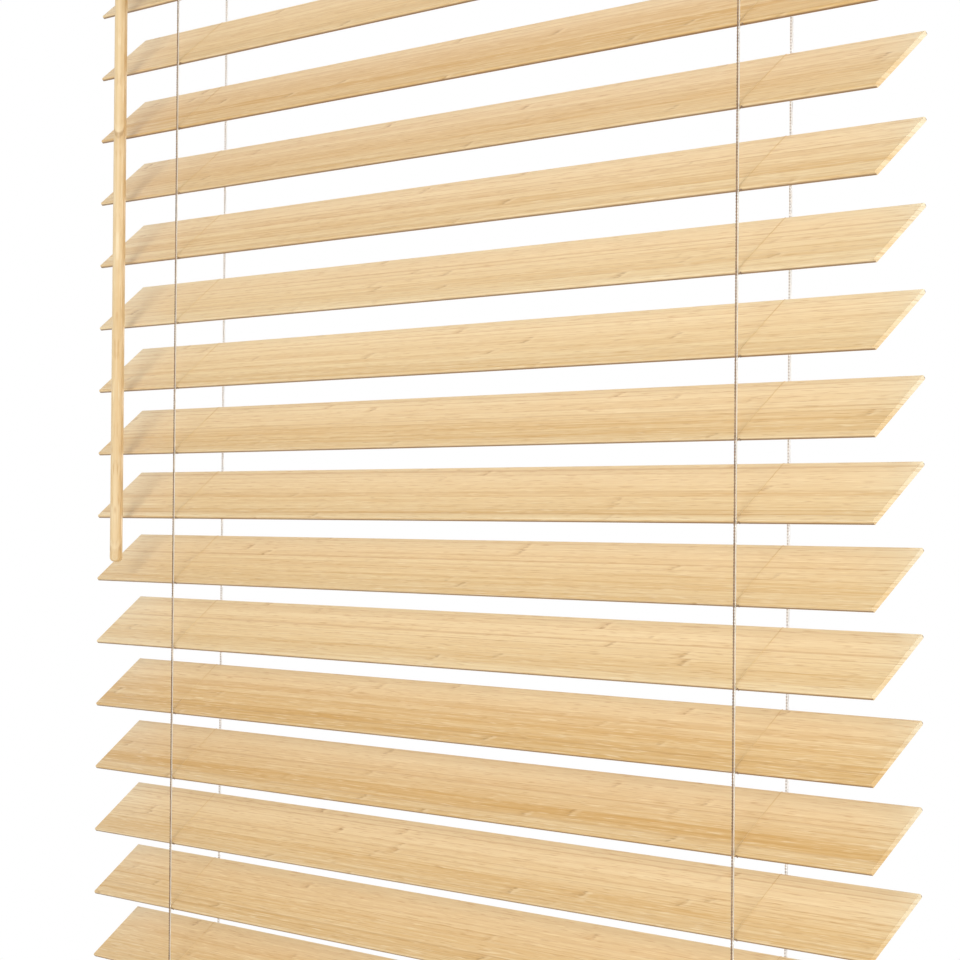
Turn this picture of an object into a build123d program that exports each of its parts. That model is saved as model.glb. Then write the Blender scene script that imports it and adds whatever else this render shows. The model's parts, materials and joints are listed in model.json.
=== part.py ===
from build123d import *
import math
import os

# Bamboo venetian blind, hung from two box brackets.
# X runs along the slats, the room is on the -Y side, and Z is up.
# The origin is the middle of the ceiling screw holes, on the plane that meets the ceiling.
# Lengths are in millimetres and angles in degrees.

# Slats: their front edges hang down by the rest tilt
slat_count = 16
slat_length = 790.0
slat_width = 50.0
slat_thickness = 2.8
slat_edge_radius = 0.9
slat_pitch = 46.0
rest_tilt = 40.7
closed_tilt = 70.0
top_slat_drop = 30.0

# Cords: the ladders hang in from the headrail's ends, each string just off the slat edges,
# with a lift cord beside it
ladder_inset = 108.0
ladder_cord_diameter = 1.3
lift_cord_diameter = 1.2
cord_clearance = 0.3
cord_pair_gap = 0.1
string_bend_radius = 8.0

# Bottom rail and the plugs that hold the cord ends under it
rail_thickness = 15.0
rail_lower_radius = 3.0
plug_stem_diameter = 11.0
plug_stem_length = 7.0
plug_head_diameter = 16.0
plug_head_thickness = 2.0
plug_clearance = 0.2

# Headrail: a folded steel channel, open on top
headrail_length = 796.0
headrail_wall = 1.0
headrail_lip = 5.0
headrail_headroom = 2.5
slot_width = 12.0
slot_clearance = 0.9
slot_side_room = 1.3
cap_thickness = 2.0
cap_rim_depth = 6.0
cap_rim_thickness = 2.0
cap_clearance = 0.2

# Box brackets, one at each end of the headrail
bracket_wall = 1.2
bracket_width = 24.0
bracket_clearance = 0.5
bracket_floor_depth = 40.0
gate_overlap = 8.0
screw_hole_diameter = 4.6
ceiling_hole_spacing = 30.0
wall_hole_spacing = 24.0

# Valance board and its clips
valance_overhang = 9.0
valance_height = 54.0
valance_thickness = 5.0
valance_edge_radius = 1.2
valance_room = 3.3
ceiling_room = 1.5
clip_spacing = 420.0
clip_width = 18.0
clip_wall = 1.2
clip_hook = 4.0
clip_fit = 0.15

# Rods, drums, spools and the cradles that carry them
rod_side = 5.0
rod_fit = 0.1
rod_overhang = 9.5
drum_radius = 10.0
drum_flange_radius = 11.5
spool_radius = 8.0
spool_flange_radius = 10.0
reel_width = 12.0
reel_flange = 1.0
trunnion_radius = 4.5
trunnion_clearance = 0.3
wound_gap = 0.05
reel_gap = 0.5
cradle_wall = 2.0
cradle_base = 2.0
cradle_side_gap = 1.5
cradle_half_depth = 23.0
cradle_head_room = 0.5
guide_bar_radius = 1.6

# Tilter: a worm on a sloping stem turns a wheel on the tilt rod
tilter_inset = 53.0
stem_slope = 35.0
wheel_tip_radius = 9.0
wheel_root_radius = 7.6
wheel_teeth = 18
tooth_width = 1.5
wheel_width = 8.0
worm_radius = 3.5
worm_length = 16.0
mesh_gap = 0.3
stem_radius = 2.5
stem_clearance = 0.5
stem_neck_radius = 1.2
stem_neck_length = 6.0
ball_radius = 3.2
ball_drop = 11.0
tilter_wall = 2.0
tilter_width = 26.0
tilter_room = 0.6

# Wand, hung on the stem's ball by a socket
socket_radius = 5.0
socket_rise = 1.4
socket_length = 15.0
ball_clearance = 0.3
wand_radius = 4.5
wand_length = 420.0
wand_pin_radius = 2.1
wand_pin_length = 7.0
wand_pin_clearance = 0.1
wand_gap = 0.3
wand_end_radius = 3.0

# Lift spring in its housing, round the lift rod
spring_housing_length = 80.0
spring_housing_half_depth = 16.0
spring_wall = 2.0
spring_inner_radius = 4.4
spring_outer_radius = 8.5
spring_end_room = 3.0
spring_top_gap = 0.5

overrun = 2.0

# Places worked out from the sizes above
pivot_reach = (slat_width - slat_thickness) / 2
corner_inset = slat_thickness / 2 - slat_edge_radius
edge_sweep = math.hypot(corner_inset, corner_inset) + slat_edge_radius
string_radius = ladder_cord_diameter / 2
lift_radius = lift_cord_diameter / 2
cord_stand = edge_sweep + cord_clearance + string_radius
cord_y = pivot_reach * math.cos(math.radians(rest_tilt)) + cord_stand
cord_rise = pivot_reach * math.sin(math.radians(rest_tilt))
lift_cord_shift = string_radius + lift_radius + cord_pair_gap

slot_outer = pivot_reach + cord_stand + string_radius + slot_clearance
slot_inner = pivot_reach * math.cos(math.radians(closed_tilt)) + cord_stand - string_radius - slot_clearance
inner_half_depth = slot_outer + slot_side_room
half_depth = inner_half_depth + headrail_wall

drum_height = cradle_base + drum_flange_radius + reel_gap
spool_height = drum_height + drum_flange_radius + spool_flange_radius + reel_gap
inner_height = spool_height + spool_flange_radius + headrail_headroom
headrail_top = -bracket_wall - bracket_clearance
floor_z = headrail_top - inner_height
headrail_bottom = floor_z - headrail_wall
drum_z = floor_z + drum_height
spool_z = floor_z + spool_height
half_length = headrail_length / 2
ladder_x = half_length - ladder_inset
tilter_offset = half_length - tilter_inset
cap_x = half_length + cap_thickness
top_slat_z = headrail_bottom - top_slat_drop
rail_z = top_slat_z - slat_count * slat_pitch


def slat_z(number):
    """Height of a slat's centre line, counted from 1 at the top."""
    return top_slat_z - (number - 1) * slat_pitch


def block(x_span, y_span, z_span):
    """A box between a low and a high value along each axis."""
    spans = (x_span, y_span, z_span)
    sizes = [high - low for low, high in spans]
    middles = [(high + low) / 2 for low, high in spans]
    return Pos(*middles) * Box(*sizes)


def bar_along_x(radius, x_span, y, z):
    """A round bar along X."""
    low, high = x_span
    return Pos((low + high) / 2, y, z) * Rot(0, 90, 0) * Cylinder(radius, high - low)


def upright(radius, x, y, z_span):
    """A round bar along Z."""
    low, high = z_span
    return Pos(x, y, (low + high) / 2) * Cylinder(radius, high - low)


def cord(points, radius, bend_radius):
    """A round cord along straight runs joined by arcs."""
    path = FilletPolyline(*points, radius=bend_radius)
    section = Plane(origin=path @ 0, z_dir=path % 0) * Circle(radius)
    return sweep(section, path=path)


def both_ladders(make):
    """The same piece at the left and the right ladder."""
    return Compound(children=[make(-ladder_x), make(ladder_x)])


def mirrored_pair(piece):
    """A piece at the right end and its mirror image at the left end."""
    return Compound(children=[piece, mirror(piece, about=Plane.YZ)])


def hung(section_face, z):
    """A length of bamboo with this section, turned to the rest tilt with its pivot line at this height."""
    bar = extrude(Plane.YZ * section_face, amount=slat_length / 2, both=True)
    return Pos(0, 0, z) * Rot(rest_tilt, 0, 0) * bar


# Slats and bottom rail
def make_slat(number):
    return hung(RectangleRounded(slat_width, slat_thickness, slat_edge_radius), slat_z(number))


def plug_place(x):
    """The middle of the rail's underside at a ladder, looking out of the rail."""
    underside = slat_thickness / 2 - rail_thickness
    return Pos(0, 0, rail_z) * Rot(rest_tilt, 0, 0) * Pos(x, 0, underside) * Rot(180, 0, 0)


def make_bottom_rail():
    face = Pos(0, slat_thickness / 2 - rail_thickness / 2) * Rectangle(slat_width, rail_thickness)
    corners = face.vertices().sort_by(Axis.Y)
    face = fillet(corners[:2], rail_lower_radius)
    corners = face.vertices().sort_by(Axis.Y)
    face = fillet(corners[-2:], slat_edge_radius)
    rail = hung(face, rail_z)
    hole_radius = plug_stem_diameter / 2 + plug_clearance
    hole_depth = plug_stem_length + plug_clearance
    for x in (-ladder_x, ladder_x):
        hole = upright(hole_radius, 0, 0, (-hole_depth, overrun))
        rail -= plug_place(x) * hole
    return rail


def make_plug(x):
    stem = upright(plug_stem_diameter / 2, 0, 0, (-plug_stem_length, 0))
    head = upright(plug_head_diameter / 2, 0, 0, (0, plug_head_thickness))
    rim = head.edges().group_by(Axis.Z)[-1]
    return plug_place(x) * (stem + fillet(rim, plug_head_thickness / 2))


# Cords
def tangent_point(side, height, axis_z, reach):
    """Where a straight cord from the slot at this height meets a round of this reach about a rod."""
    drop = height - axis_z
    lean = math.atan2(drop, cord_y)
    turn = lean + math.acos(reach / math.hypot(cord_y, drop))
    return side * reach * math.cos(turn), axis_z + reach * math.sin(turn)


def make_string_top(side, x, low_z):
    """A ladder string from this height to its side of the tilt drum."""
    slot_z = floor_z + cradle_base
    y, z = tangent_point(side, slot_z, drum_z, drum_radius + string_radius + wound_gap)
    route = [(x, side * cord_y, low_z), (x, side * cord_y, slot_z), (x, y, z)]
    return cord(route, string_radius, string_bend_radius)


def make_string_step(number, x):
    """The rear string between one slat and the next."""
    low = slat_z(number) + cord_rise
    return upright(string_radius, x, cord_y, (low, low + slat_pitch))


wound_reach = spool_radius + lift_radius + wound_gap
lift_bend_radius = guide_bar_radius + lift_radius + wound_gap


def make_lift_cord(side, x):
    """A lift cord from the rail, round a guide bar to the spool: over it in front, under it behind."""
    low = rail_z + side * cord_rise
    level = spool_z - side * wound_reach
    shifted = x + lift_cord_shift
    route = [(shifted, side * cord_y, low), (shifted, side * cord_y, level), (shifted, 0, level)]
    return cord(route, lift_radius, lift_bend_radius)


# Headrail and its ends
def make_headrail():
    x_span = (-half_length, half_length)
    rail = block(x_span, (-half_depth, half_depth), (headrail_bottom, headrail_top))
    inner_x = (-half_length - overrun, half_length + overrun)
    lip_z = headrail_top - headrail_wall
    rail -= block(inner_x, (-inner_half_depth, inner_half_depth), (floor_z, lip_z))
    mouth = inner_half_depth - headrail_lip
    rail -= block(inner_x, (-mouth, mouth), (lip_z - overrun, headrail_top + overrun))
    floor_cut = (headrail_bottom - overrun, floor_z + overrun)
    for x in (-ladder_x, ladder_x):
        slot_x = (x - slot_width / 2, x + slot_width / 2)
        rail -= block(slot_x, (-slot_outer, -slot_inner), floor_cut)
        rail -= block(slot_x, (slot_inner, slot_outer), floor_cut)
    return rail - stem_passage(stem_radius + stem_clearance)


def make_end_cap():
    plate = block((half_length, cap_x), (-half_depth, half_depth), (headrail_bottom, headrail_top))
    rim_half = inner_half_depth - cap_clearance
    rim_low = floor_z + cap_clearance
    rim_high = headrail_top - headrail_wall - cap_clearance
    rim_x = (half_length - cap_rim_depth, half_length)
    rim = block(rim_x, (-rim_half, rim_half), (rim_low, rim_high))
    hollow_half = rim_half - cap_rim_thickness
    hollow_z = (rim_low + cap_rim_thickness, rim_high - cap_rim_thickness)
    hollow_x = (half_length - cap_rim_depth - overrun, half_length)
    return plate + (rim - block(hollow_x, (-hollow_half, hollow_half), hollow_z))


bracket_end = cap_x + bracket_clearance + bracket_wall
bracket_start = bracket_end - bracket_width
bracket_back = half_depth + bracket_clearance + bracket_wall
bracket_front = half_depth + bracket_clearance
bracket_low = headrail_bottom - bracket_clearance - bracket_wall
hole_x = (bracket_start + cap_x) / 2
gate_back = bracket_front + bracket_clearance
gate_front = gate_back + bracket_wall


def make_bracket():
    outer_y = (-bracket_front, bracket_back)
    shell = block((bracket_start, bracket_end), outer_y, (bracket_low, 0))
    inner_x = (bracket_start - overrun, bracket_end - bracket_wall)
    inner_y = (-bracket_front - overrun, bracket_back - bracket_wall)
    shell -= block(inner_x, inner_y, (bracket_low + bracket_wall, -bracket_wall))
    floor_front = bracket_back - bracket_floor_depth
    shell -= block(inner_x, (-bracket_front - overrun, floor_front), (bracket_low - overrun, -bracket_wall))
    hole_radius = screw_hole_diameter / 2
    for y in (-ceiling_hole_spacing / 2, ceiling_hole_spacing / 2):
        shell -= upright(hole_radius, hole_x, y, (-bracket_wall - overrun, overrun))
    for step in (-wall_hole_spacing / 2, wall_hole_spacing / 2):
        drill = Cylinder(hole_radius, bracket_wall + 2 * overrun)
        shell -= Pos(hole_x, bracket_back - bracket_wall / 2, bracket_low / 2 + step) * Rot(90, 0, 0) * drill
    return shell


def make_gate():
    """The plate that closes a bracket's front, with a flange round the outside of its end."""
    gate_end = bracket_end + bracket_clearance + bracket_wall
    plate = block((bracket_start, gate_end), (-gate_front, -gate_back), (bracket_low, -bracket_wall))
    flange_x = (gate_end - bracket_wall, gate_end)
    return plate + block(flange_x, (-gate_front, gate_overlap - gate_back), (bracket_low, -bracket_wall))


# Valance
valance_back = gate_front + valance_room
valance_front = valance_back + valance_thickness
valance_top = -ceiling_room
valance_low = valance_top - valance_height


def make_valance():
    end = half_length + valance_overhang
    board = block((-end, end), (-valance_front, -valance_back), (valance_low, valance_top))
    return fillet(board.faces().sort_by(Axis.Y)[0].edges(), valance_edge_radius)


def make_valance_clip(x):
    """A clip that grips the valance's top and bottom edges and hooks over the headrail's front wall."""
    x_span = (x - clip_width / 2, x + clip_width / 2)
    plate_front = valance_back - clip_fit
    plate_back = plate_front - clip_wall
    low = valance_low - clip_fit - clip_wall
    high = valance_top + clip_fit + clip_wall
    clip = block(x_span, (-plate_front, -plate_back), (low, high))
    grip = (-valance_back - clip_hook, -plate_back)
    clip += block(x_span, grip, (low, low + clip_wall))
    clip += block(x_span, grip, (high - clip_wall, high))
    saddle_low = headrail_top + clip_fit
    saddle_high = saddle_low + clip_wall
    inside = inner_half_depth - headrail_lip
    clip += block(x_span, (-plate_back, clip_fit - inside + clip_wall), (saddle_low, saddle_high))
    hook_y = (clip_fit - inside, clip_fit - inside + clip_wall)
    return clip + block(x_span, hook_y, (headrail_top - headrail_wall - clip_hook, saddle_high))


# Rods, drums, spools and cradles
cheek_inner = reel_width / 2 + reel_flange + cradle_side_gap
cheek_outer = cheek_inner + cradle_wall
rod_end = ladder_x + cheek_outer + rod_overhang


def square_rod(x_span, z):
    half = rod_side / 2
    return block(x_span, (-half, half), (z - half, z + half))


def make_reel(x, z, radius, flange_radius):
    """A flanged drum on a rod, with a trunnion at each side."""
    half = reel_width / 2
    rim = half + reel_flange
    end = cheek_outer
    reel = bar_along_x(radius, (x - half, x + half), 0, z)
    reel += bar_along_x(flange_radius, (x - rim, x - half), 0, z)
    reel += bar_along_x(flange_radius, (x + half, x + rim), 0, z)
    reel += bar_along_x(trunnion_radius, (x - end, x + end), 0, z)
    hole = rod_side / 2 + rod_fit
    bore_x = (x - end - overrun, x + end + overrun)
    return reel - block(bore_x, (-hole, hole), (z - hole, z + hole))


def make_cradle(x):
    inner = cheek_inner
    outer = cheek_outer
    top = spool_z + wound_reach + cradle_head_room
    deep = (-cradle_half_depth, cradle_half_depth)
    base_y = (-inner_half_depth + slot_side_room, inner_half_depth - slot_side_room)
    base_z = (floor_z, floor_z + cradle_base)
    cradle = block((x - outer, x + outer), base_y, base_z)
    cut_x = (x - slot_width / 2, x + slot_width / 2)
    cut_z = (floor_z - overrun, floor_z + cradle_base + overrun)
    cradle -= block(cut_x, (-slot_outer - overrun, -slot_inner), cut_z)
    cradle -= block(cut_x, (slot_inner, slot_outer + overrun), cut_z)
    bore = trunnion_radius + trunnion_clearance
    for low, high in ((x - outer, x - inner), (x + inner, x + outer)):
        cheek = block((low, high), deep, (floor_z, top))
        for z in (drum_z, spool_z):
            cheek -= bar_along_x(bore, (low - overrun, high + overrun), 0, z)
        cradle += cheek
    for side in (-1, 1):
        bar_y = side * (cord_y - lift_bend_radius)
        bar_z = spool_z - side * wound_reach - lift_bend_radius
        cradle += bar_along_x(guide_bar_radius, (x - inner, x + inner), bar_y, bar_z)
    return cradle


# Tilter and wand, at the left end
slope = math.radians(stem_slope)
mesh_distance = wheel_tip_radius + mesh_gap + worm_radius
worm_y = -mesh_distance * math.cos(slope)
worm_z = drum_z + mesh_distance * math.sin(slope)
ball_z = headrail_bottom - ball_drop
stem_run = (worm_z - ball_z) / math.cos(slope)
ball_y = worm_y - stem_run * math.sin(slope)


def along_stem(low, high, radius):
    """A round bar on the stem's axis, measured down from the middle of the worm."""
    middle = (low + high) / 2
    place = Pos(-tilter_offset, worm_y, worm_z) * Rot(-stem_slope, 0, 0)
    return place * Pos(0, 0, -middle) * Cylinder(radius, high - low)


def stem_passage(radius):
    return along_stem(0, stem_run, radius)


def make_stem():
    stem = along_stem(-worm_length / 2, worm_length / 2, worm_radius)
    neck_start = stem_run - ball_radius - stem_neck_length
    stem += along_stem(0, neck_start, stem_radius)
    stem += along_stem(neck_start, stem_run, stem_neck_radius)
    return stem + Pos(-tilter_offset, ball_y, ball_z) * Sphere(ball_radius)


def make_worm_wheel():
    x_span = (-tilter_offset - wheel_width / 2, -tilter_offset + wheel_width / 2)
    wheel = bar_along_x(wheel_root_radius, x_span, 0, drum_z)
    tooth_y = (-tooth_width / 2, tooth_width / 2)
    tooth = block(x_span, tooth_y, (wheel_root_radius - mesh_gap, wheel_tip_radius))
    for count in range(wheel_teeth):
        wheel += Pos(0, 0, drum_z) * Rot(360 * count / wheel_teeth, 0, 0) * tooth
    half = tilter_width / 2
    wheel += bar_along_x(trunnion_radius, (-tilter_offset - half, -tilter_offset + half), 0, drum_z)
    hole = rod_side / 2 + rod_fit
    bore_x = (-tilter_offset - half - overrun, -tilter_offset + half + overrun)
    return wheel - block(bore_x, (-hole, hole), (drum_z - hole, drum_z + hole))


def make_tilter_housing():
    half = tilter_width / 2
    x_span = (-tilter_offset - half, -tilter_offset + half)
    front = -inner_half_depth + tilter_room
    back = wheel_tip_radius + tilter_room + tilter_wall
    worm_top = worm_z + worm_length / 2 * math.cos(slope) + worm_radius * math.sin(slope)
    top = worm_top + tilter_room + tilter_wall
    shell = block(x_span, (front, back), (floor_z, top))
    inner_x = (x_span[0] + tilter_wall, x_span[1] - tilter_wall)
    inner_y = (front + tilter_wall, back - tilter_wall)
    shell -= block(inner_x, inner_y, (floor_z + tilter_wall, top - tilter_wall))
    bore_x = (x_span[0] - overrun, x_span[1] + overrun)
    shell -= bar_along_x(trunnion_radius + trunnion_clearance, bore_x, 0, drum_z)
    return shell - stem_passage(stem_radius + stem_clearance)


def make_socket():
    place = Pos(-tilter_offset, ball_y, ball_z)
    socket = upright(socket_radius, 0, 0, (-socket_length, socket_rise))
    socket -= Sphere(ball_radius + ball_clearance)
    bore_low = -socket_length - overrun
    bore_high = -socket_length + wand_pin_length + wand_pin_clearance
    socket -= upright(wand_pin_radius + wand_pin_clearance, 0, 0, (bore_low, bore_high))
    return place * socket


def make_wand():
    top = -socket_length - wand_gap
    stick = upright(wand_radius, 0, 0, (top - wand_length, top))
    stick = fillet(stick.edges().group_by(Axis.Z)[0], wand_end_radius)
    pin = upright(wand_pin_radius, 0, 0, (top, -socket_length + wand_pin_length))
    return Pos(-tilter_offset, ball_y, ball_z) * (stick + pin)


# Lift spring
def make_spring_housing():
    half = spring_housing_length / 2
    deep = spring_housing_half_depth
    top = spool_z + spring_outer_radius + spring_top_gap + spring_wall
    shell = block((-half, half), (-deep, deep), (floor_z, top))
    inner = half - spring_wall
    inner_deep = deep - spring_wall
    shell -= block((-inner, inner), (-inner_deep, inner_deep), (floor_z + spring_wall, top - spring_wall))
    bore_x = (-half - overrun, half + overrun)
    for z in (drum_z, spool_z):
        shell -= bar_along_x(spring_inner_radius, bore_x, 0, z)
    return shell


def make_lift_spring():
    half = spring_housing_length / 2 - spring_wall - spring_end_room
    coil = bar_along_x(spring_outer_radius, (-half, half), 0, spool_z)
    return coil - bar_along_x(spring_inner_radius, (-half - overrun, half + overrun), 0, spool_z)


def save(name, shape):
    export_step(shape, f"parts/{name}.step")


os.makedirs("parts", exist_ok=True)

right_cap = make_end_cap()
right_bracket = make_bracket()
save("headrail", make_headrail())
save("end_cap_right", right_cap)
save("end_cap_left", mirror(right_cap, about=Plane.YZ))
save("bracket_right", right_bracket)
save("bracket_left", mirror(right_bracket, about=Plane.YZ))
save("bracket_gates", mirrored_pair(make_gate()))
save("valance", make_valance())
save("valance_clips", Compound(children=[make_valance_clip(clip_spacing / 2 * side) for side in (-1, 1)]))

save("tilt_rod", square_rod((-tilter_offset - tilter_width / 2, rod_end), drum_z))
save("tilt_drums", both_ladders(lambda x: make_reel(x, drum_z, drum_radius, drum_flange_radius)))
save("cradles", both_ladders(make_cradle))
save("worm_wheel", make_worm_wheel())
save("tilter_housing", make_tilter_housing())
save("tilter_stem", make_stem())
save("wand_socket", make_socket())
save("wand", make_wand())

save("lift_rod", square_rod((-rod_end, rod_end), spool_z))
save("lift_spools", both_ladders(lambda x: make_reel(x, spool_z, spool_radius, spool_flange_radius)))
save("spring_housing", make_spring_housing())
save("lift_spring", make_lift_spring())

save("front_strings", both_ladders(lambda x: make_string_top(-1, x, rail_z - cord_rise)))
save("rear_string_top", both_ladders(lambda x: make_string_top(1, x, top_slat_z + cord_rise)))
save("front_lift_cords", both_ladders(lambda x: make_lift_cord(-1, x)))
save("rear_lift_cords", both_ladders(lambda x: make_lift_cord(1, x)))

for number in range(1, slat_count + 1):
    below = number + 1
    save(f"slat_{number:02d}", make_slat(number))
    save(f"rear_string_{below:02d}", both_ladders(lambda x: make_string_step(below, x)))

save("bottom_rail", make_bottom_rail())
save("cord_plugs", both_ladders(make_plug))
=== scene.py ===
import json
import math
from collections import namedtuple

import bpy
from mathutils import Euler, Matrix, Vector


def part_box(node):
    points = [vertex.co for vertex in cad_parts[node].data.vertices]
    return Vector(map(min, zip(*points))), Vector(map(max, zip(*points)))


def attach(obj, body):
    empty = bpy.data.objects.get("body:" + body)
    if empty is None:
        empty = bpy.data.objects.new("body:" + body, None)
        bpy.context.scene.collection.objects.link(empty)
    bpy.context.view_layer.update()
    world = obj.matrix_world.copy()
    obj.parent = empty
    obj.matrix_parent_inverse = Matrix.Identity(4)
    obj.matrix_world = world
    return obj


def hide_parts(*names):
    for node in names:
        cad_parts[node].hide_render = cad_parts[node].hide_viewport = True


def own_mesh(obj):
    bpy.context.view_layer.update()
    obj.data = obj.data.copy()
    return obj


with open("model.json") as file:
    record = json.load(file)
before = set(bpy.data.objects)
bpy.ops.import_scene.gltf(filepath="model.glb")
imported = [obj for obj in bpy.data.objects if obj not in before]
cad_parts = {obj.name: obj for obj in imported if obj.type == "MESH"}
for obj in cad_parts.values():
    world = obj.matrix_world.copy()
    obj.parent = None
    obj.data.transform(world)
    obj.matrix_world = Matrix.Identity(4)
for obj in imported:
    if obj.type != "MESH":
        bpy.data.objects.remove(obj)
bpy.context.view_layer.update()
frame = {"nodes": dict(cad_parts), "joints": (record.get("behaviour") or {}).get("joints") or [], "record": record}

# Bamboo venetian blind. Lengths are in metres in the frame of the CAD model, where X runs along the slats,
# the front faces -Y and Z is up.
MM = 0.001
QUARTER_TURN = math.pi / 2
joints = {joint["name"]: joint for joint in frame["joints"]}

# Places read from the frame
slat_middle = Vector(joints["slat_tilt"]["pos_m"])
rail_middle = Vector(joints["rail_tilt"]["pos_m"])
front_edge = Vector(joints["front_ladder_swing"]["pos_m"])
rear_edge = Vector(joints["rear_ladder_swing"]["pos_m"])
tilt_axis = Vector(joints["tilt_rod_turn"]["pos_m"])
lift_axis = Vector(joints["lift_rod_turn"]["pos_m"])
slat_pitch = slat_middle.z - joints["slat_tilt_02"]["pos_m"][2]
rest_tilt = math.atan2(rear_edge.z - front_edge.z, rear_edge.y - front_edge.y)
slats = sorted(name for name in frame["nodes"] if name.startswith("slat_"))
rear_steps = sorted(name for name in frame["nodes"] if name.startswith("rear_string_"))

string_low, string_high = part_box("rear_string_02")
string_radius = (string_high.y - string_low.y) / 2
string_y = (string_high.y + string_low.y) / 2
ladder_x = string_high.x - string_radius
lift_cord_low, lift_cord_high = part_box("front_lift_cords")
lift_cord_radius = -lift_cord_low.y - string_y
lift_cord_shift = lift_cord_high.x - lift_cord_radius - ladder_x
headrail_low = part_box("headrail")[0].z
hung_length = slat_middle.z - rail_middle.z
sides = {"left": -ladder_x, "right": ladder_x}

# Sizes of the slats, the rail and the reels that the frame's boxes don't give, as in the CAD model
SLAT_WIDTH = 50 * MM
SLAT_THICKNESS = 2.8 * MM
RAIL_THICKNESS = 15 * MM
RAIL_CORNER = 3.5 * MM
PLUG_HEAD_RADIUS = 8 * MM
DRUM_RADIUS = 10 * MM
SPOOL_RADIUS = 8 * MM

# Cord making: how many plies are twisted, the length of one turn of the twist, and a ply's radius
Cord = namedtuple("Cord", "plies lay ply_radius")
STRING = Cord(plies=2, lay=3.5 * MM, ply_radius=0.26 * MM)
LIFT_CORD = Cord(plies=3, lay=5.4 * MM, ply_radius=0.18 * MM)
RUNG_LAY = 2 * MM
RUNG_RADIUS = 0.11 * MM
RUNG_GAP = 0.03 * MM
RUNG_CORNER_SHARE = 0.75
KNOT_RADIUS = 0.4 * MM
KNOT_THREAD_RADIUS = 0.3 * MM
KNOT_TURNS = 2

# Turns on the drums and spools, and how far they spread along the rods
WOUND_TURNS = 1.5
WOUND_SPREAD = 3 * MM

# How far above the headrail's underside the runs to the drums and spools start, and how far the cords' tops
# reach there at rest, so that they still do where a tilted slat draws them down. The front tops keep this
# share of their length where the slats' front edges are highest.
RUN_START = 9 * MM
TOPS_INSIDE = {"front": 21 * MM, "rear": 39 * MM}

# How far out under a plug's head the cords end, as a share of its radius
UNDER_PLUG_SHARE = 0.8

# Points in a turn of twist, in a turn on a drum or spool, and in a rounded corner
TWIST_STEPS = 10
WOUND_STEPS = 24
CORNER_STEPS = 5


def tubes(name, lines, radius, body, slot, material=None, cyclic=False):
    """A piece of cord that rides on a body: a round tube along each line of points."""
    curve = bpy.data.curves.new(name, "CURVE")
    curve.dimensions = "3D"
    curve.bevel_depth = radius
    curve.bevel_resolution = 1
    curve.use_fill_caps = not cyclic
    for line in lines:
        spline = curve.splines.new("POLY")
        spline.points.add(len(line) - 1)
        spline.points.foreach_set("co", [value for point in line for value in (*point, 1)])
        spline.use_cyclic_u = cyclic
    piece = bpy.data.objects.new(name, curve)
    bpy.context.scene.collection.objects.link(piece)
    bpy.ops.object.select_all(action="DESELECT")
    piece.select_set(True)
    bpy.context.view_layer.objects.active = piece
    bpy.ops.object.convert(target="MESH")
    bpy.ops.object.shade_smooth()
    piece.data.materials.clear()
    piece.data.materials.append(bpy.data.materials[material or slot])
    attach(piece, body)
    return piece


def ply_reach(cord):
    """How far the plies of a cord lie from its middle, where they touch each other."""
    return cord.ply_radius / math.sin(math.pi / cord.plies)


def twisted(cord, x, y, low, high):
    """The lines of an upright cord's plies. Their turn follows the height, so that cord ends meet."""
    reach = ply_reach(cord)
    steps = round((high - low) / cord.lay * TWIST_STEPS)
    lines = []
    for ply in range(cord.plies):
        line = []
        for step in range(steps + 1):
            z = low + (high - low) * step / steps
            angle = math.tau * (z / cord.lay + ply / cord.plies)
            line.append((x + reach * math.cos(angle), y + reach * math.sin(angle), z))
        lines.append(line)
    return lines


def wound(x, axis, reach, start, turns, advance):
    """A line wound round a rod, from a start angle about it, that advances along the rod."""
    steps = round(abs(turns) * WOUND_STEPS)
    line = []
    for step in range(steps + 1):
        share = step / steps
        angle = start + math.tau * turns * share
        y = axis.y + reach * math.cos(angle)
        z = axis.z + reach * math.sin(angle)
        line.append((x + advance * share, y, z))
    return line


def on_slat(x, across, above, middle):
    """A point of a tilted slat or rail, from its middle line."""
    y = across * math.cos(rest_tilt) - above * math.sin(rest_tilt)
    z = across * math.sin(rest_tilt) + above * math.cos(rest_tilt)
    return (x, middle.y + y, middle.z + z)


def laid(cord, places, x, middle):
    """The lines of the plies of a cord that lies along places across and above a rail."""
    reach = ply_reach(cord)
    lines = [[] for _ in range(cord.plies)]
    travelled = 0
    for start, end in zip(places, places[1:]):
        start, end = Vector(start), Vector(end)
        length = (end - start).length
        out = Vector((start.y - end.y, end.x - start.x)) / length
        steps = max(1, round(length / cord.lay * TWIST_STEPS))
        for step in range(steps):
            place = start.lerp(end, step / steps)
            turned = (travelled + length * step / steps) / cord.lay
            for ply, line in enumerate(lines):
                angle = math.tau * (turned + ply / cord.plies)
                across, above = place + out * reach * math.cos(angle)
                line.append(on_slat(x + reach * math.sin(angle), across, above, middle))
        travelled += length
    return lines


def rounded_loop(half_across, low, high, corner):
    """The outline round the section of a slat or rail, as places across and above its middle line."""
    middles = ((half_across - corner, high - corner), (corner - half_across, high - corner),
               (corner - half_across, low + corner), (half_across - corner, low + corner))
    outline = []
    for quarter, (across, above) in enumerate(middles):
        for step in range(CORNER_STEPS + 1):
            angle = QUARTER_TURN * (quarter + step / CORNER_STEPS)
            outline.append((across + corner * math.cos(angle), above + corner * math.sin(angle)))
    return outline


# Materials, in place of the plain ones that come with the frame
for plain in list(bpy.data.materials):
    bpy.data.materials.remove(plain)


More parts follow.
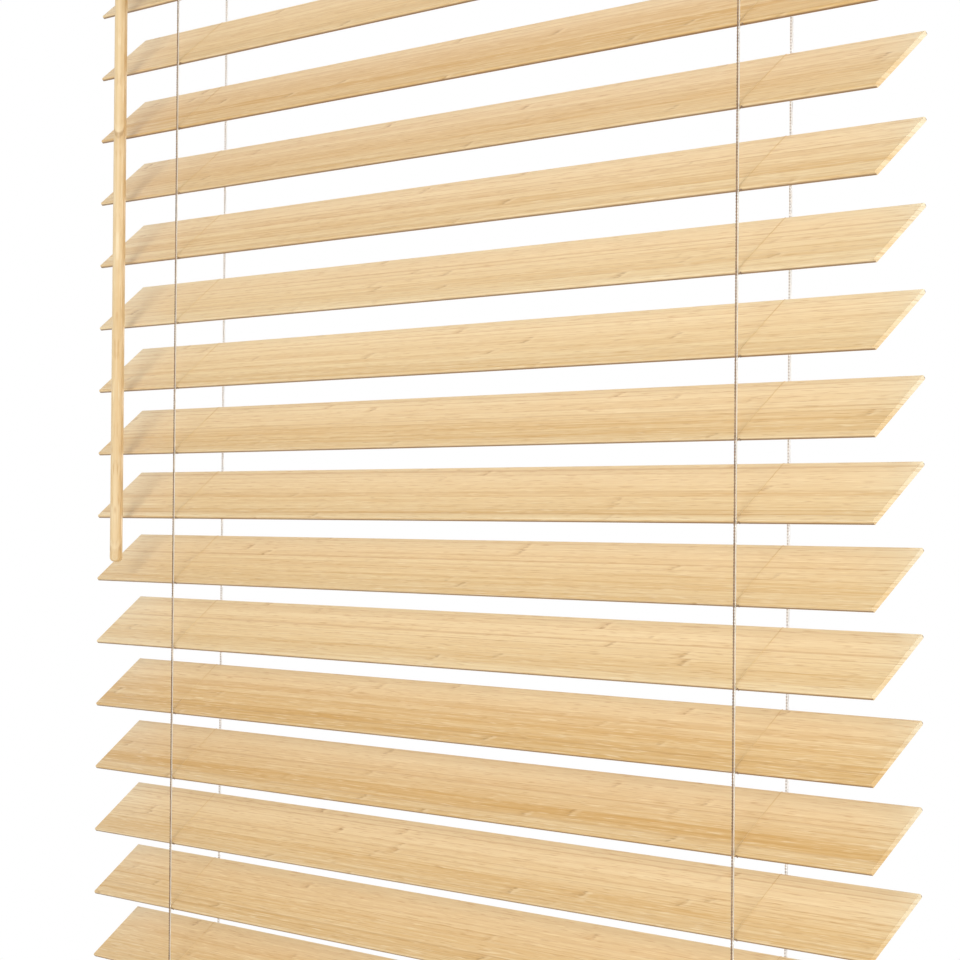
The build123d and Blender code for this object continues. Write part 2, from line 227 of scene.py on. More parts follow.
def linear(hex_colour):
    """An sRGB hex colour as linear red, green, blue and alpha."""
    values = [int(hex_colour[i:i + 2], 16) / 255 for i in (1, 3, 5)]
    return [v / 12.92 if v <= 0.04045 else ((v + 0.055) / 1.055) ** 2.4 for v in values] + [1]


def add_node(tree, kind, inputs=None, output=0, **settings):
    """Adds a node with its settings, and gives one of its outputs, or the node where output is None.
    An input that is a socket is linked, and any other is set."""
    node = tree.nodes.new(kind)
    for key, value in settings.items():
        setattr(node, key, value)
    for key, value in (inputs or {}).items():
        if isinstance(value, bpy.types.NodeSocket):
            tree.links.new(value, node.inputs[key])
        else:
            node.inputs[key].default_value = value
    return node if output is None else node.outputs[output]


def new_material(name):
    """An empty material: its nodes and its shader."""
    material = bpy.data.materials.new(name)
    material.use_nodes = True
    tree = material.node_tree
    tree.nodes.clear()
    shader = add_node(tree, "ShaderNodeBsdfPrincipled", output=None)
    add_node(tree, "ShaderNodeOutputMaterial", {"Surface": shader.outputs["BSDF"]}, output=None)
    return tree, shader


# Kinds of node that the materials use most, and the mixing node's sockets for colours
MATH = "ShaderNodeMath"
RANGE = "ShaderNodeMapRange"
MIX = "ShaderNodeMix"
NOISE = "ShaderNodeTexNoise"
CHANCE = "ShaderNodeTexWhiteNoise"
JOIN = "ShaderNodeCombineXYZ"
SPLIT = "ShaderNodeSeparateXYZ"
MAPPING = "ShaderNodeMapping"
COORDS = "ShaderNodeTexCoord"
BUMP = "ShaderNodeBump"
UNDER, OVER, MIXED = 6, 7, 2

# Most of a noise lies between these levels
NOISE_LOW = 0.3
NOISE_HIGH = 0.7

# Boards: the slats are numbered from the top, and the others follow them. A board outside the row has a drop
# and a half width far beyond its size, so the pale painted light of the rear covers it evenly and it has no
# cut edges with painted shade.
BOARD_SEED = 18145.0
RAIL_NUMBER = 16
VALANCE_NUMBER = 17
WAND_NUMBER = 18
LONE_BOARD_DROP = 1e6
NO_CUT_EDGES = 1e3

# Strips, in millimetres. A wave across the board makes them uneven: radians in a millimetre, and a share of
# a strip. Glue lines are full and gone at these shares of a strip from its sides.
STRIP_WIDTH = 5.2
STRIP_WAVE = 0.9
STRIP_SWAY_SHARE = 0.14
GLUE_FULL_SHARE = 0.03
GLUE_GONE_SHARE = 0.10

# Streaks along the strips: length and width in millimetres and layers of detail. The finest fibres of
# bamboo are about 0.3 mm wide, and are drawn coarser here to show. Seeds set streaks and boards apart.
STREAKS = {"long_fibre": (310.0, 2.6, 3.0), "fibre": (75.0, 0.9, 3.0), "dark_pore": (15.0, 0.8, 1.0),
           "pale_pore": (18.0, 0.8, 1.0), "waver": (7.0, 2.6, 2.0), "dash": (7.0, 0.9, 1.0)}
STREAK_ROUGHNESS = 0.55
STREAK_SEED = 11.3
ROW_SEED = 3.7

# Streaks that show only where their noise is high, from the first level on and in full at the second
SHOWN_LEVELS = {"dark_pore": (0.58, 0.74), "pale_pore": (0.58, 0.72), "dash": (0.42, 0.6)}

# Knuckles, in millimetres. A mark lies some way ahead of its knuckle, is full to one distance from there and
# gone at another. Chances below the least one leave a knuckle out.
KNUCKLE_SPACING = 300.0
KNUCKLE_SLANT = 5.0
KNUCKLE_WAVER = 5.0
KNUCKLE_LEAST_CHANCE = 0.3
KNUCKLE_SEED = 31.0
KNUCKLE_MARKS = {"stroke": (0.0, 0.6, 3.2), "shade": (-2.5, 0.5, 7.0), "pale_side": (4.0, 0.5, 4.5)}

# Painted shade on the cut edges of the slats, in millimetres: the depth where it starts and is full, how high
# on the edge it reaches, and how softly it ends there
EDGE_SHADE_DEPTH = 0.7
EDGE_SHADE_FULL_DEPTH = 0.2
SLAT_EDGE_SHADE_TOP = 0.15
EDGE_SHADE_SOFTNESS = 0.4

# Tone of the bamboo, from the dark colour to the light one, and what lies over it from the lowest layer up:
# how much each layer covers, and its colour. The pale layer at the rear is painted light from behind, and
# starts at a share of half the board's width. The edge layer is painted shade.
BAMBOO_DARK = "#D5AA64"
BAMBOO_LIGHT = "#F4DEB2"
BOARD_TONE = 0.50
STRIP_TONE = 0.36
FIBRE_TONES = {"long_fibre": 1.0, "fibre": 0.8}
FIBRE_MEAN = 0.45
PAINTED_LIGHT_START_SHARE = -0.35
BAMBOO_LAYERS = {"rear_painted_light": (0.56, "#F1EBD2"), "dark_pore": (0.46, "#BF9156"), "pale_pore": (0.48, "#FBEBC8"),
                 "glue": (0.42, "#BD8D4E"), "pale_side": (0.30, "#F8E7C2"), "shade": (0.28, "#C39A5C"),
                 "stroke": (0.55, "#9A6C36"), "edge": (0.82, "#78502A")}

# Lacquer over the bamboo: smoother on pale fibres than on dark ones, and the grain that still shows in it
LACQUER_ROUGHEST = 0.50
LACQUER_SMOOTHEST = 0.40
FIBRE_RELIEF = 0.5
BAMBOO_RELIEF = 0.10
BAMBOO_RELIEF_DEPTH = 0.2 * MM


def bamboo_strips(tree, girth, row, board_tone):
    """Strips of uneven width: their number, the place in one, its tone, and its shift and glue by chance."""
    phase = add_node(tree, MATH, {0: girth, 1: STRIP_WAVE, 2: row}, operation="MULTIPLY_ADD")
    sway = add_node(tree, MATH, {0: phase}, operation="SINE")
    even = add_node(tree, MATH, {0: girth, 1: 1 / STRIP_WIDTH, 2: board_tone}, operation="MULTIPLY_ADD")
    uneven = add_node(tree, MATH, {0: sway, 1: STRIP_SWAY_SHARE, 2: even}, operation="MULTIPLY_ADD")
    strip = add_node(tree, MATH, {0: uneven}, operation="FLOOR")
    in_strip = add_node(tree, MATH, {0: uneven}, operation="FRACT")
    strip_row = add_node(tree, JOIN, {0: strip, 1: row})
    chance = add_node(tree, CHANCE, {"Vector": strip_row}, output=None).outputs
    parted = add_node(tree, "ShaderNodeSeparateColor", {0: chance["Color"]}, output=None).outputs
    return strip, in_strip, chance["Value"], parted["Red"], parted["Green"]


def bamboo_grain(tree, along, girth, row):
    """Fibres, pores and the other streaks along a board, by name."""
    grain = {}
    place = add_node(tree, JOIN, {0: along, 1: girth, 2: row})
    for number, (streak, (length, width, detail)) in enumerate(STREAKS.items()):
        stretched = add_node(tree, MAPPING, {"Vector": place, "Location": (0, 0, STREAK_SEED * number),
                                             "Scale": (1 / length, 1 / width, ROW_SEED)})
        grain[streak] = add_node(tree, NOISE, {"Vector": stretched, "Scale": 1.0, "Detail": detail,
                                               "Roughness": STREAK_ROUGHNESS})
        if streak in SHOWN_LEVELS:
            first, full = SHOWN_LEVELS[streak]
            grain[streak] = add_node(tree, RANGE, {"Value": grain[streak], "From Min": first,
                                                   "From Max": full})
    return grain


def bamboo_knuckles(tree, along, row, strip, in_strip, shift, grain):
    """Marks of the knuckles, at staggered places along the strips: a slanted stroke with a soft shade
    before it and a pale side after it."""
    knuckles = add_node(tree, MATH, {0: along, 1: 1 / KNUCKLE_SPACING, 2: shift}, operation="MULTIPLY_ADD")
    number = add_node(tree, MATH, {0: knuckles}, operation="FLOOR")
    own_strip = add_node(tree, MATH, {0: row, 1: KNUCKLE_SEED, 2: strip}, operation="MULTIPLY_ADD")
    own_place = add_node(tree, JOIN, {0: number, 1: own_strip})
    chance = add_node(tree, CHANCE, {"Vector": own_place}, output="Value")
    strength = add_node(tree, RANGE, {"Value": chance, "From Min": KNUCKLE_LEAST_CHANCE, "From Max": 1.0})
    share = add_node(tree, MATH, {0: knuckles}, operation="FRACT")
    slant = add_node(tree, MATH, {0: in_strip, 1: -KNUCKLE_SLANT}, operation="MULTIPLY")
    slanted = add_node(tree, MATH, {0: share, 1: KNUCKLE_SPACING, 2: slant}, operation="MULTIPLY_ADD")
    wavered = add_node(tree, MATH, {0: grain["waver"], 1: KNUCKLE_WAVER, 2: slanted},
                       operation="MULTIPLY_ADD")
    marks = {}
    for mark, (ahead, full, gone) in KNUCKLE_MARKS.items():
        off_mark = add_node(tree, MATH, {0: wavered, 1: KNUCKLE_SPACING / 2 + ahead}, operation="SUBTRACT")
        off_mark = add_node(tree, MATH, {0: off_mark}, operation="ABSOLUTE")
        shape = add_node(tree, RANGE, {"Value": off_mark, "From Min": full, "From Max": gone,
                                       "To Min": 1.0, "To Max": 0.0}, interpolation_type="SMOOTHSTEP")
        marks[mark] = add_node(tree, MATH, {0: shape, 1: strength}, operation="MULTIPLY")
    marks["stroke"] = add_node(tree, MATH, {0: marks["stroke"], 1: grain["dash"]}, operation="MULTIPLY")
    return marks


def bamboo(name, rotation, middle, number, row_drop=LONE_BOARD_DROP, row_slide=0.0, half_width=NO_CUT_EDGES,
           edge_top=0.0):
    """Laminated bamboo under a satin lacquer. Strips about 5 mm wide lie side by side along the board, each
    with its own tone, long fibres, short pale and dark pores, and slanted dark marks where the cane had a
    knuckle. Sizes are in millimetres. Boards are numbered, and those that hang in a row by how far each lies
    from the first. The rear is paled with painted light from behind, and the cut edges at half_width take
    painted shade on their lower part, up to the given top."""
    tree, shader = new_material(name)
    place = Euler(rotation).to_matrix() @ (Vector(middle) / MM)
    coords = add_node(tree, COORDS, output="Object")
    board = add_node(tree, MAPPING, {"Vector": coords, "Location": -place, "Rotation": rotation,
                                     "Scale": (1 / MM,) * 3})
    along, across, above = add_node(tree, SPLIT, {0: board}, output=None).outputs

    # The board's number in its row, and the place on that board
    drops = add_node(tree, MATH, {0: above, 1: row_drop}, operation="DIVIDE")
    in_row = add_node(tree, MATH, {0: drops}, operation="ROUND")
    depth = add_node(tree, MATH, {0: in_row, 1: -row_drop, 2: above}, operation="MULTIPLY_ADD")
    off_middle = add_node(tree, MATH, {0: in_row, 1: -row_slide, 2: across}, operation="MULTIPLY_ADD")
    row = add_node(tree, MATH, {0: in_row, 1: number}, operation="ADD")
    girth = add_node(tree, MATH, {0: off_middle, 1: depth}, operation="ADD")
    board_seed = add_node(tree, JOIN, {0: row, 2: BOARD_SEED})
    board_tone = add_node(tree, CHANCE, {"Vector": board_seed}, output="Value")

    strip, in_strip, strip_tone, shift, glue_share = bamboo_strips(tree, girth, row, board_tone)
    grain = bamboo_grain(tree, along, girth, row)
    covers = {**grain, **bamboo_knuckles(tree, along, row, strip, in_strip, shift, grain)}

    # Glue lines between strips, darker between some than others
    from_end = add_node(tree, MATH, {0: 1.0, 1: in_strip}, operation="SUBTRACT")
    to_side = add_node(tree, MATH, {0: in_strip, 1: from_end}, operation="MINIMUM")
    glue = add_node(tree, RANGE, {"Value": to_side, "From Min": GLUE_FULL_SHARE, "From Max": GLUE_GONE_SHARE,
                                  "To Min": 1.0, "To Max": 0.0})
    covers["glue"] = add_node(tree, MATH, {0: glue, 1: glue_share}, operation="MULTIPLY")

    # Painted shade on the lower part of the cut edges, and pale painted light from behind towards the rear
    off_side = add_node(tree, MATH, {0: off_middle}, operation="ABSOLUTE")
    edge = add_node(tree, RANGE, {"Value": off_side, "From Min": half_width - EDGE_SHADE_DEPTH,
                                  "From Max": half_width - EDGE_SHADE_FULL_DEPTH})
    below = add_node(tree, RANGE, {"Value": depth, "From Min": edge_top - EDGE_SHADE_SOFTNESS,
                                   "From Max": edge_top + EDGE_SHADE_SOFTNESS, "To Min": 1.0, "To Max": 0.0})
    covers["edge"] = add_node(tree, MATH, {0: edge, 1: below}, operation="MULTIPLY")
    painted_light_start = PAINTED_LIGHT_START_SHARE * half_width
    covers["rear_painted_light"] = add_node(tree, RANGE, {"Value": off_middle, "From Min": painted_light_start,
                                              "From Max": half_width})

    # Colour
    tone = add_node(tree, MATH, {0: board_tone, 1: BOARD_TONE}, operation="MULTIPLY")
    tone = add_node(tree, MATH, {0: strip_tone, 1: STRIP_TONE, 2: tone}, operation="MULTIPLY_ADD")
    for streak, amount in FIBRE_TONES.items():
        off_mean = add_node(tree, MATH, {0: grain[streak], 1: FIBRE_MEAN}, operation="SUBTRACT")
        tone = add_node(tree, MATH, {0: off_mean, 1: amount, 2: tone}, operation="MULTIPLY_ADD")
    colour = add_node(tree, MIX, {0: tone, UNDER: linear(BAMBOO_DARK), OVER: linear(BAMBOO_LIGHT)},
                      output=MIXED, data_type="RGBA")
    for layer, (amount, hex_colour) in BAMBOO_LAYERS.items():
        cover = add_node(tree, MATH, {0: covers[layer], 1: amount}, operation="MULTIPLY")
        colour = add_node(tree, MIX, {0: cover, UNDER: colour, OVER: linear(hex_colour)},
                          output=MIXED, data_type="RGBA")
    tree.links.new(colour, shader.inputs["Base Color"])

    # Lacquer
    roughness = add_node(tree, RANGE, {"Value": grain["fibre"], "From Min": NOISE_LOW, "From Max": NOISE_HIGH,
                                       "To Min": LACQUER_ROUGHEST, "To Max": LACQUER_SMOOTHEST})
    tree.links.new(roughness, shader.inputs["Roughness"])
    hollow = add_node(tree, MATH, {0: covers["glue"], 1: covers["stroke"]}, operation="ADD")
    relief = add_node(tree, MATH, {0: grain["fibre"], 1: FIBRE_RELIEF}, operation="MULTIPLY")
    relief = add_node(tree, MATH, {0: relief, 1: hollow}, operation="SUBTRACT")
    bump = add_node(tree, BUMP, {"Height": relief, "Strength": BAMBOO_RELIEF,
                                 "Distance": BAMBOO_RELIEF_DEPTH})
    tree.links.new(bump, shader.inputs["Normal"])
    shader.inputs["IOR"].default_value = 1.5
    shader.inputs["Coat Weight"].default_value = 0.10
    shader.inputs["Coat Roughness"].default_value = 0.3


# Mottled surfaces: grains are drawn coarser than real ones to show, clouds are this many times as wide as the
# grain, and both together give levels of colour
CLOUD_GRAINS = 40
MOTTLE_LOW = 0.12
MOTTLE_HIGH = 0.4
MOTTLE_DEPTH = 0.1 * MM


def mottled(name, first, second, grain, roughness, rough_spread, relief, metallic=0.0):
    """A surface of two near colours with a fine grain, whose size is in millimetres."""
    tree, shader = new_material(name)
    coords = add_node(tree, COORDS, output="Object")
    speckle = add_node(tree, NOISE, {"Vector": coords, "Scale": 1 / (grain * MM), "Detail": 3.0,
                                     "Roughness": 0.6})
    cloud = add_node(tree, NOISE, {"Vector": coords, "Scale": 1 / (CLOUD_GRAINS * grain * MM),
                                   "Detail": 2.0})
    both = add_node(tree, MATH, {0: speckle, 1: cloud}, operation="MULTIPLY")
    share = add_node(tree, RANGE, {"Value": both, "From Min": MOTTLE_LOW, "From Max": MOTTLE_HIGH})
    colour = add_node(tree, MIX, {0: share, UNDER: linear(first), OVER: linear(second)},
                      output=MIXED, data_type="RGBA")
    tree.links.new(colour, shader.inputs["Base Color"])
    rough = add_node(tree, RANGE, {"Value": cloud, "From Min": NOISE_LOW, "From Max": NOISE_HIGH,
                                   "To Min": roughness - rough_spread, "To Max": roughness + rough_spread})
    tree.links.new(rough, shader.inputs["Roughness"])
    bump = add_node(tree, BUMP, {"Height": speckle, "Strength": relief, "Distance": MOTTLE_DEPTH})
    tree.links.new(bump, shader.inputs["Normal"])
    shader.inputs["Metallic"].default_value = metallic
    return shader


# Threads: fibres are drawn coarser than real ones to show, patches are some lays long, and both together
# give levels of colour. The change between the front and rear colours is painted light, and the rear colour
# covers this much. Grey painted shade of the twist lies where the twisted plies are broadest from the front
# right.
THREAD_FIBRE = 0.5 * MM
PATCH_LAYS = 2
THREAD_LOW = 0.7
THREAD_HIGH = 1.3
THREAD_RELIEF = 0.4
THREAD_RELIEF_DEPTH = 0.1 * MM
PAINTED_LIGHT_COVER = 0.92
TWIST_SHADES_PER_LAY = 2
TWIST_SHADE_PHASE = -math.pi / 2


def thread(name, dark, light, rear, lay, roughness, painted_twist_shade=None):
    """Spun polyester: matt and a little uneven, with fine fibres. Its colour changes towards the rear as
    painted light, and on the rear colour grey painted shade can follow the twist of its plies."""
    tree, shader = new_material(name)
    coords = add_node(tree, COORDS, output="Object")
    fibres = add_node(tree, NOISE, {"Vector": coords, "Scale": 1 / THREAD_FIBRE, "Detail": 2.0,
                                    "Roughness": 0.6})
    patches = add_node(tree, NOISE, {"Vector": coords, "Scale": 1 / (PATCH_LAYS * lay), "Detail": 2.0})
    both = add_node(tree, MATH, {0: fibres, 1: patches}, operation="ADD")
    share = add_node(tree, RANGE, {"Value": both, "From Min": THREAD_LOW, "From Max": THREAD_HIGH})
    colour = add_node(tree, MIX, {0: share, UNDER: linear(dark), OVER: linear(light)},
                      output=MIXED, data_type="RGBA")
    _, y, z = add_node(tree, SPLIT, {0: coords}, output=None).outputs
    rear_painted_colour = linear(rear)
    # Grey painted shade of the twist, where the plies are broadest from the front right
    if painted_twist_shade:
        turn = add_node(tree, MATH, {0: z, 1: TWIST_SHADES_PER_LAY * math.tau / lay, 2: TWIST_SHADE_PHASE},
                        operation="MULTIPLY_ADD")
        wave = add_node(tree, MATH, {0: turn}, operation="COSINE")
        twist_shade_share = add_node(tree, RANGE, {"Value": wave, "From Min": -1.0, "From Max": 1.0})
        rear_painted_colour = add_node(tree, MIX, {0: twist_shade_share, UNDER: rear_painted_colour, OVER: linear(painted_twist_shade)},
                               output=MIXED, data_type="RGBA")
    painted_light_ramp = add_node(tree, RANGE, {"Value": y, "From Min": 0.0, "From Max": string_y,
                                       "To Max": PAINTED_LIGHT_COVER})
    colour = add_node(tree, MIX, {0: painted_light_ramp, UNDER: colour, OVER: rear_painted_colour},
                      output=MIXED, data_type="RGBA")
    tree.links.new(colour, shader.inputs["Base Color"])
    bump = add_node(tree, BUMP, {"Height": fibres, "Strength": THREAD_RELIEF,
                                 "Distance": THREAD_RELIEF_DEPTH})
    tree.links.new(bump, shader.inputs["Normal"])
    shader.inputs["Roughness"].default_value = roughness
    shader.inputs["Sheen Weight"].default_value = 0.15
    return shader


# Laminated bamboo of the slats, the bottom rail, the valance and the wand: golden, finely streaked, satin
valance_low, valance_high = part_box("valance")
wand_low, wand_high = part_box("wand")
bamboo("bamboo", (-rest_tilt, 0, 0), slat_middle, number=0,
       row_drop=-slat_pitch * math.cos(rest_tilt) / MM, row_slide=-slat_pitch * math.sin(rest_tilt) / MM,
       half_width=SLAT_WIDTH / 2 / MM, edge_top=SLAT_EDGE_SHADE_TOP)
bamboo("bamboo_rail", (-rest_tilt, 0, 0), rail_middle, RAIL_NUMBER)
bamboo("bamboo_board", (-QUARTER_TURN, 0, 0), (valance_low + valance_high) / 2, VALANCE_NUMBER)
bamboo("bamboo_stick", (0, QUARTER_TURN, 0), (wand_low + wand_high) / 2, WAND_NUMBER)

# Satin enamel baked on steel: even and cream coloured, with a faint orange peel
mottled("enamelled_steel", "#DECEAF", "#E3D4B7", grain=1.2, roughness=0.36, rough_spread=0.04, relief=0.05)
# Moulded polypropylene: creamy, soft gloss and a fine spark-eroded grain
mottled("cream_plastic", "#E2D6BC", "#EBE1CB", grain=0.6, roughness=0.42, rough_spread=0.05, relief=0.08)
# Milky moulded polycarbonate: lets some light through and has a clear gloss
milky = mottled("clear_plastic", "#E9E8E2", "#F1F0EB", grain=0.8, roughness=0.22, rough_spread=0.03,
                relief=0.04)
milky.inputs["Transmission Weight"].default_value = 0.55
milky.inputs["IOR"].default_value = 1.58
# Zinc plated steel: grey with a faint spangle
mottled("steel", "#B4B5B6", "#C9CACC", grain=1.5, roughness=0.34, rough_spread=0.06, relief=0.05,
        metallic=1.0)
# Twisted polyester ladder string: taupe brown, painted near white towards the rear as painted light from
# behind, with grey painted shade of the twist there
thread("ladder_string", "#7B614A", "#B89B7E", "#FFFFFF", STRING.lay, roughness=0.75, painted_twist_shade="#DCD9D9")
# Laid polyester lift cord: near white, painted a touch whiter towards the rear as painted light, and lets
# light through
cord = thread("lift_cord", "#FFFAEF", "#FFFFFC", "#FFFFFF", LIFT_CORD.lay, roughness=0.5)
cord.inputs["Transmission Weight"].default_value = 0.7
cord.inputs["IOR"].default_value = 1.3
# Fine polyester thread of the rungs: tan towards the rear, and painted as pale as the slats in front as
# painted light against the shade it takes there
thread("rung_thread", "#EBCF9C", "#F5E0B4", "#D0AE78", RUNG_LAY, roughness=0.75)

# Each CAD node takes the material of its slot, and three bamboo pieces their own
slots = {part["node"]: part["material_slot"] for part in frame["record"]["subparts"]}
own_bamboo = {"valance": "bamboo_board", "wand": "bamboo_stick", "bottom_rail": "bamboo_rail"}
for name, node in frame["nodes"].items():
    node.data.materials.clear()
    node.data.materials.append(bpy.data.materials[own_bamboo.get(name, slots[name])])

# Strings and lift cords, twisted, from the bottom rail to the top slat, and their tops inside the headrail
for ladder, edge, y in (("front", front_edge, -string_y), ("rear", rear_edge, string_y)):
    foot = edge.z - hung_length
    body = f"{ladder}_ladder"
    for side, x in sides.items():
        strands = twisted(STRING, x, y, foot, edge.z)
        string = tubes(f"{ladder}_string_{side}", strands, STRING.ply_radius, body, "ladder_string")
        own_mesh(string)
        strands = twisted(LIFT_CORD, x + lift_cord_shift, y, foot, edge.z)
        lift_cord = tubes(f"{ladder}_lift_cord_{side}", strands, LIFT_CORD.ply_radius, body, "lift_cord")
        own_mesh(lift_cord)
        if side == "left":
            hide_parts(f"{ladder}_lift_cords")
            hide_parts(*(["front_strings"] if ladder == "front" else rear_steps))
    top = headrail_low + TOPS_INSIDE[ladder]
    string_lines, cord_lines = [], []
    for x in sides.values():
        string_lines += twisted(STRING, x, y, edge.z, top)
        cord_lines += twisted(LIFT_CORD, x + lift_cord_shift, y, edge.z, top)
    string_tops = tubes(f"{ladder}_string_tops", string_lines, STRING.ply_radius, body, "ladder_string")
    cord_tops = tubes(f"{ladder}_lift_cord_tops", cord_lines, LIFT_CORD.ply_radius, body, "lift_cord")
    if ladder == "front":
        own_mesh(string_tops)
        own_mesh(cord_tops)

# Inside the headrail: the strings run on to the drums and the lift cords to the spools, and are wound there
drum_reach = DRUM_RADIUS + string_radius
spool_reach = SPOOL_RADIUS + lift_cord_radius
run_start = headrail_low + RUN_START
drop = run_start - tilt_axis.z
tangent = math.atan2(drop, string_y) + math.acos(drum_reach / math.hypot(string_y, drop))
tangent_y = drum_reach * math.cos(tangent)
tangent_z = tilt_axis.z + drum_reach * math.sin(tangent)
string_runs, lift_runs, drum_turns, spool_turns = [], [], [], []
for x in sides.values():
    shifted = x + lift_cord_shift
    for side in (-1, 1):
        y = side * string_y
        string_runs.append([(x, y, run_start), (x, side * tangent_y, tangent_z)])
        level = lift_axis.z - side * spool_reach
        lift_runs.append([(shifted, y, run_start), (shifted, y, level), (shifted, 0, level)])
        start = tangent if side > 0 else math.pi - tangent
        drum_turns.append(wound(x, tilt_axis, drum_reach, start, WOUND_TURNS * side, -side * WOUND_SPREAD))
        start = -side * QUARTER_TURN
        spool_turns.append(wound(shifted, lift_axis, spool_reach, start, -WOUND_TURNS, side * WOUND_SPREAD))
plain_string_radius = STRING.ply_radius + ply_reach(STRING)
plain_cord_radius = LIFT_CORD.ply_radius + ply_reach(LIFT_CORD)
tubes("string_runs", string_runs, plain_string_radius, "headrail", "ladder_string")
tubes("lift_cord_runs", lift_runs, plain_cord_radius, "headrail", "lift_cord")
tubes("drum_turns", drum_turns, plain_string_radius, "tilt_rod", "ladder_string")
tubes("spool_turns", spool_turns, plain_cord_radius, "lift_rod", "lift_cord")

# Rungs: a thin thread over and under each slat, beside the strings, and a knot at each edge by the lift cord
rung_half = SLAT_WIDTH / 2 + RUNG_RADIUS + RUNG_GAP
rung_high = SLAT_THICKNESS / 2 + RUNG_RADIUS + RUNG_GAP
rung_outline = rounded_loop(rung_half, -rung_high, rung_high, rung_high * RUNG_CORNER_SHARE)
rung_shift = -string_radius - RUNG_RADIUS
knot_shift = lift_cord_shift + lift_cord_radius + KNOT_RADIUS
knot_height = KNOT_TURNS * 2 * KNOT_THREAD_RADIUS
knot_steps = KNOT_TURNS * TWIST_STEPS
knot_line = []
for step in range(knot_steps + 1):
    angle = math.tau * step / TWIST_STEPS
    rise = (step / knot_steps - 0.5) * knot_height
    knot_line.append(Vector((KNOT_RADIUS * math.cos(angle), KNOT_RADIUS * math.sin(angle), rise)))
for number, name in enumerate(slats):
    middle = slat_middle - Vector((0, 0, number * slat_pitch))
    loops = [[on_slat(x + rung_shift, across, above, middle) for across, above in rung_outline]
             for x in sides.values()]
    tubes(f"rungs_{number + 1:02d}", loops, RUNG_RADIUS, name, "ladder_string", "rung_thread", cyclic=True)
    knots = []
    for x in sides.values():
        for side in (-1, 1):
            centre = Vector(on_slat(x + knot_shift, side * rung_half, 0, middle))
            knots.append([centre + offset for offset in knot_line])
    tubes(f"knots_{number + 1:02d}", knots, KNOT_THREAD_RADIUS, name, "ladder_string")

# Ends of the strings and lift cords, from their feet round the bottom rail's lower corners to its plugs
rail_low = SLAT_THICKNESS / 2 - RAIL_THICKNESS - string_radius
rail_half = SLAT_WIDTH / 2 + string_radius
rail_outline = rounded_loop(rail_half, rail_low, SLAT_THICKNESS / 2, RAIL_CORNER)
low_front_corner = rail_outline[2 * (CORNER_STEPS + 1):3 * (CORNER_STEPS + 1)]
foot_rise = rear_edge.z - slat_middle.z
foot_across = string_y * math.cos(rest_tilt) + foot_rise * math.sin(rest_tilt)
foot_above = foot_rise * math.cos(rest_tilt) - string_y * math.sin(rest_tilt)
string_ends, cord_ends = [], []
for x in sides.values():
    for side in (-1, 1):
        places = [(side * foot_across, side * foot_above)]
        places += [(-side * across, above) for across, above in low_front_corner]
        places.append((side * UNDER_PLUG_SHARE * PLUG_HEAD_RADIUS, rail_low))
        string_ends += laid(STRING, places, x, rail_middle)
        cord_ends += laid(LIFT_CORD, places, x + lift_cord_shift, rail_middle)
tubes("rail_ties", string_ends, STRING.ply_radius, "bottom_rail", "ladder_string")
tubes("rail_cord_ends", cord_ends, LIFT_CORD.ply_radius, "bottom_rail", "lift_cord")

# Camera at the photograph's place, found from the slat edges and cords. It turns by degrees of yaw, pitch
# and roll, and its sensor and lens are in millimetres.
CAMERA_PLACE = (1.4849, -1.1350, -0.4645)
CAMERA_TURN = (51.933, 0.751, -0.452)
SENSOR_WIDTH = 36
LENS = 110.47
yaw, pitch, roll = (math.radians(angle) for angle in CAMERA_TURN)
aim = Matrix.Rotation(yaw, 4, "Z") @ Matrix.Rotation(pitch, 4, "X") @ Matrix.Rotation(roll, 4, "Y")
camera_data = bpy.data.cameras.new("camera")
camera_data.sensor_width = SENSOR_WIDTH
camera_data.lens = LENS
camera = bpy.data.objects.new("camera", camera_data)
camera.matrix_world = Matrix.Translation(CAMERA_PLACE) @ aim @ Matrix.Rotation(QUARTER_TURN, 4, "X")
bpy.context.scene.collection.objects.link(camera)
bpy.context.scene.camera = camera

# Lamps, all aimed at the blind's middle: a large soft one in front, one behind at the slats' undersides and
# one from the right. Each has a place, a width and a power in watts.
LAMPS = {"front_lamp": ((0.9, -2.4, 0.25), 1.6, 29), "rear_lamp": ((0.2, 2.4, -0.6), 1.6, 24),
         "side_lamp": ((2.2, 0.7, 0.3), 1.0, 18)}
BLIND_MIDDLE = (0, 0, -0.42)
for name, (place, width, power) in LAMPS.items():
    lamp = bpy.data.lights.new(name, "AREA")
    lamp.shape = "DISK"
    lamp.size = width
    lamp.energy = power
    light = bpy.data.objects.new(name, lamp)
    turn = (Vector(BLIND_MIDDLE) - Vector(place)).to_track_quat("-Z", "Y").to_matrix().to_4x4()
    light.matrix_world = Matrix.Translation(place) @ turn
    bpy.context.scene.collection.objects.link(light)

# White surroundings, which light the blind less than they show
WHITE = (1, 1, 1, 1)
SURROUNDING_LIGHT = 0.6


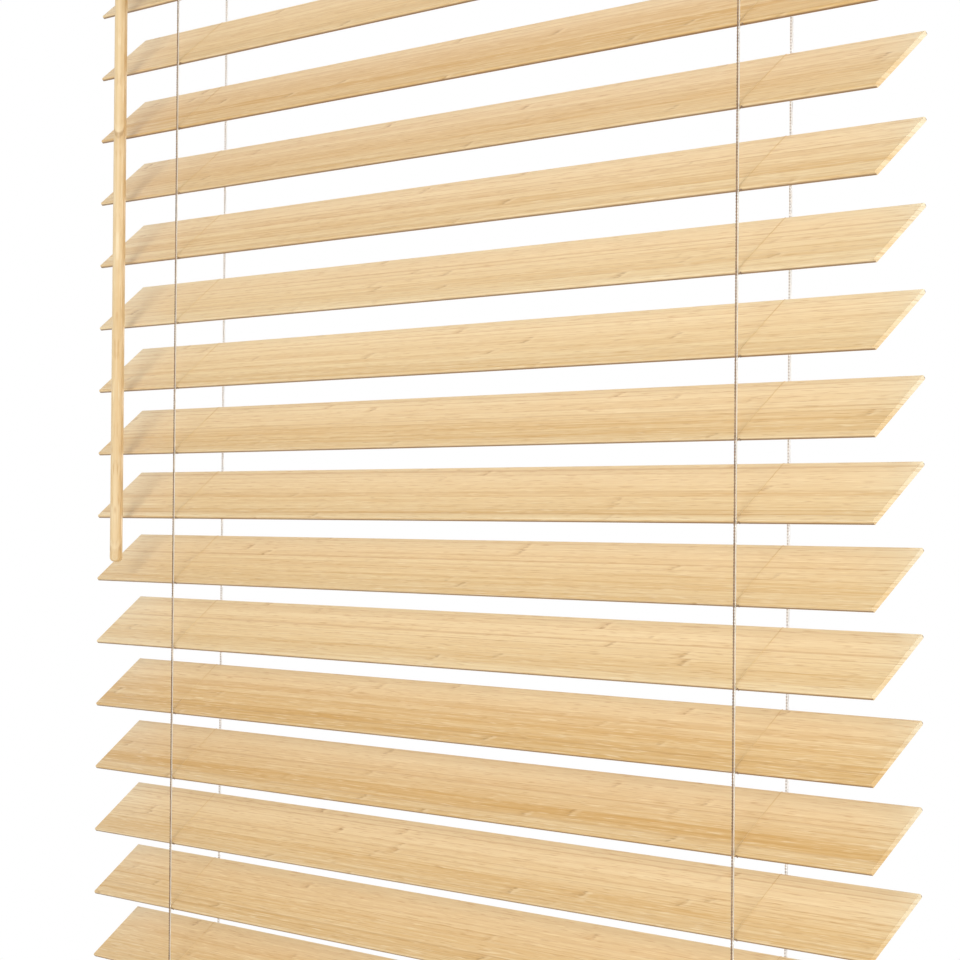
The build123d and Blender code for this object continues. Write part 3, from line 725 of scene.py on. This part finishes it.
def seen_rays(tree):
    """One for rays that show the white surroundings: seen directly, in a gloss or through a clear piece."""
    path = add_node(tree, "ShaderNodeLightPath", output=None).outputs
    seen = add_node(tree, MATH, {0: path["Is Camera Ray"], 1: path["Is Glossy Ray"]}, operation="MAXIMUM")
    return add_node(tree, MATH, {0: seen, 1: path["Is Transmission Ray"]}, operation="MAXIMUM")


world = bpy.data.worlds.new("white_surroundings")
world.use_nodes = True
tree = world.node_tree
tree.nodes.clear()
strength = add_node(tree, RANGE, {"Value": seen_rays(tree), "To Min": SURROUNDING_LIGHT, "To Max": 1.0})
surroundings = add_node(tree, "ShaderNodeBackground", {"Color": WHITE, "Strength": strength})
add_node(tree, "ShaderNodeOutputWorld", {"Surface": surroundings}, output=None)
bpy.context.scene.world = world

# Floor under the hanging blind: pale paint that takes the shadow, and fades to white towards its rim
FLOOR_Z = -1.1
FLOOR_RADIUS = 2.4
FLOOR_SIDES = 96
FADE_START = 0.35
FADE_END = 0.95 * FLOOR_RADIUS
bpy.ops.object.select_all(action="DESELECT")
bpy.ops.mesh.primitive_circle_add(vertices=FLOOR_SIDES, radius=FLOOR_RADIUS, fill_type="NGON",
                                  location=(0, 0, 0))
floor = bpy.context.active_object
floor.name = "floor"
floor.data.transform(Matrix.Translation((0, 0, FLOOR_Z)))
paint = mottled("floor_paint", "#F1F0EE", "#F5F4F2", grain=4.0, roughness=0.7, rough_spread=0.05, relief=0.02)
tree = paint.id_data
coords = add_node(tree, COORDS, output="Object")
flattened = add_node(tree, "ShaderNodeVectorMath", {0: coords, 1: (1, 1, 0)}, operation="MULTIPLY")
off_centre = add_node(tree, "ShaderNodeVectorMath", {0: flattened}, output="Value", operation="LENGTH")
faded = add_node(tree, RANGE, {"Value": off_centre, "From Min": FADE_START, "From Max": FADE_END},
                 interpolation_type="SMOOTHSTEP")
faded = add_node(tree, MATH, {0: faded, 1: seen_rays(tree)}, operation="MULTIPLY")
white = add_node(tree, "ShaderNodeEmission", {"Color": WHITE, "Strength": 1.0})
surface = add_node(tree, "ShaderNodeMixShader", {0: faded, 1: paint.outputs["BSDF"], 2: white})
add_node(tree, "ShaderNodeOutputMaterial", {"Surface": surface}, output=None).is_active_output = True
floor.data.materials.append(bpy.data.materials["floor_paint"])

bpy.context.scene.view_settings.view_transform = "Standard"
